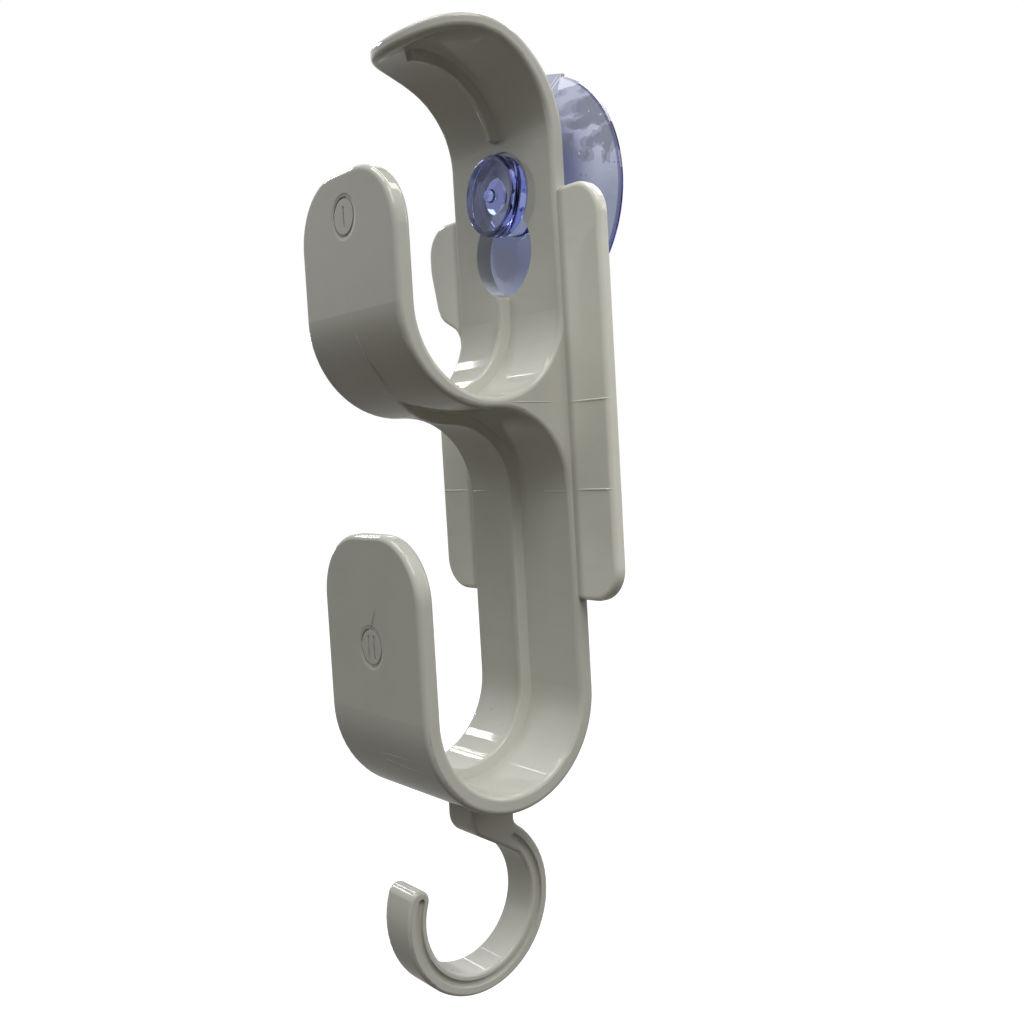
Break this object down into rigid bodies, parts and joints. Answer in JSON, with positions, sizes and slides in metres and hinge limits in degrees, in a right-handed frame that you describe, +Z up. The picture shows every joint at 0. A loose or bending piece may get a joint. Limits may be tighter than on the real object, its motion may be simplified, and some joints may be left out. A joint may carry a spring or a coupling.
{
  "type": "hose hanger",
  "caption": "Moulded wall hanger with open hooks one above the other, a small C hook below and a clear suction cup in a keyhole under a curved roof.",
  "frame": {"origin": "on the suction cup's axis, at the wall that the cup's rim lies on", "axes": "+Y points into the wall, the hooks stand out towards -Y, +Z points up, and +X is to the right for someone who looks at the wall"},
  "size_m": [0.0622, 0.0546, 0.2126],
  "materials": {
    "hanger_body": "off-white moulded plastic, glossy, with faint flow and witness lines",
    "suction_cup": "clear soft plastic, tinted blue violet, smooth and glossy"
  },
  "bodies": {
    "root": {"hanger_body": "hanger_body", "suction_cup": "suction_cup"}
  },
  "joints": []
}
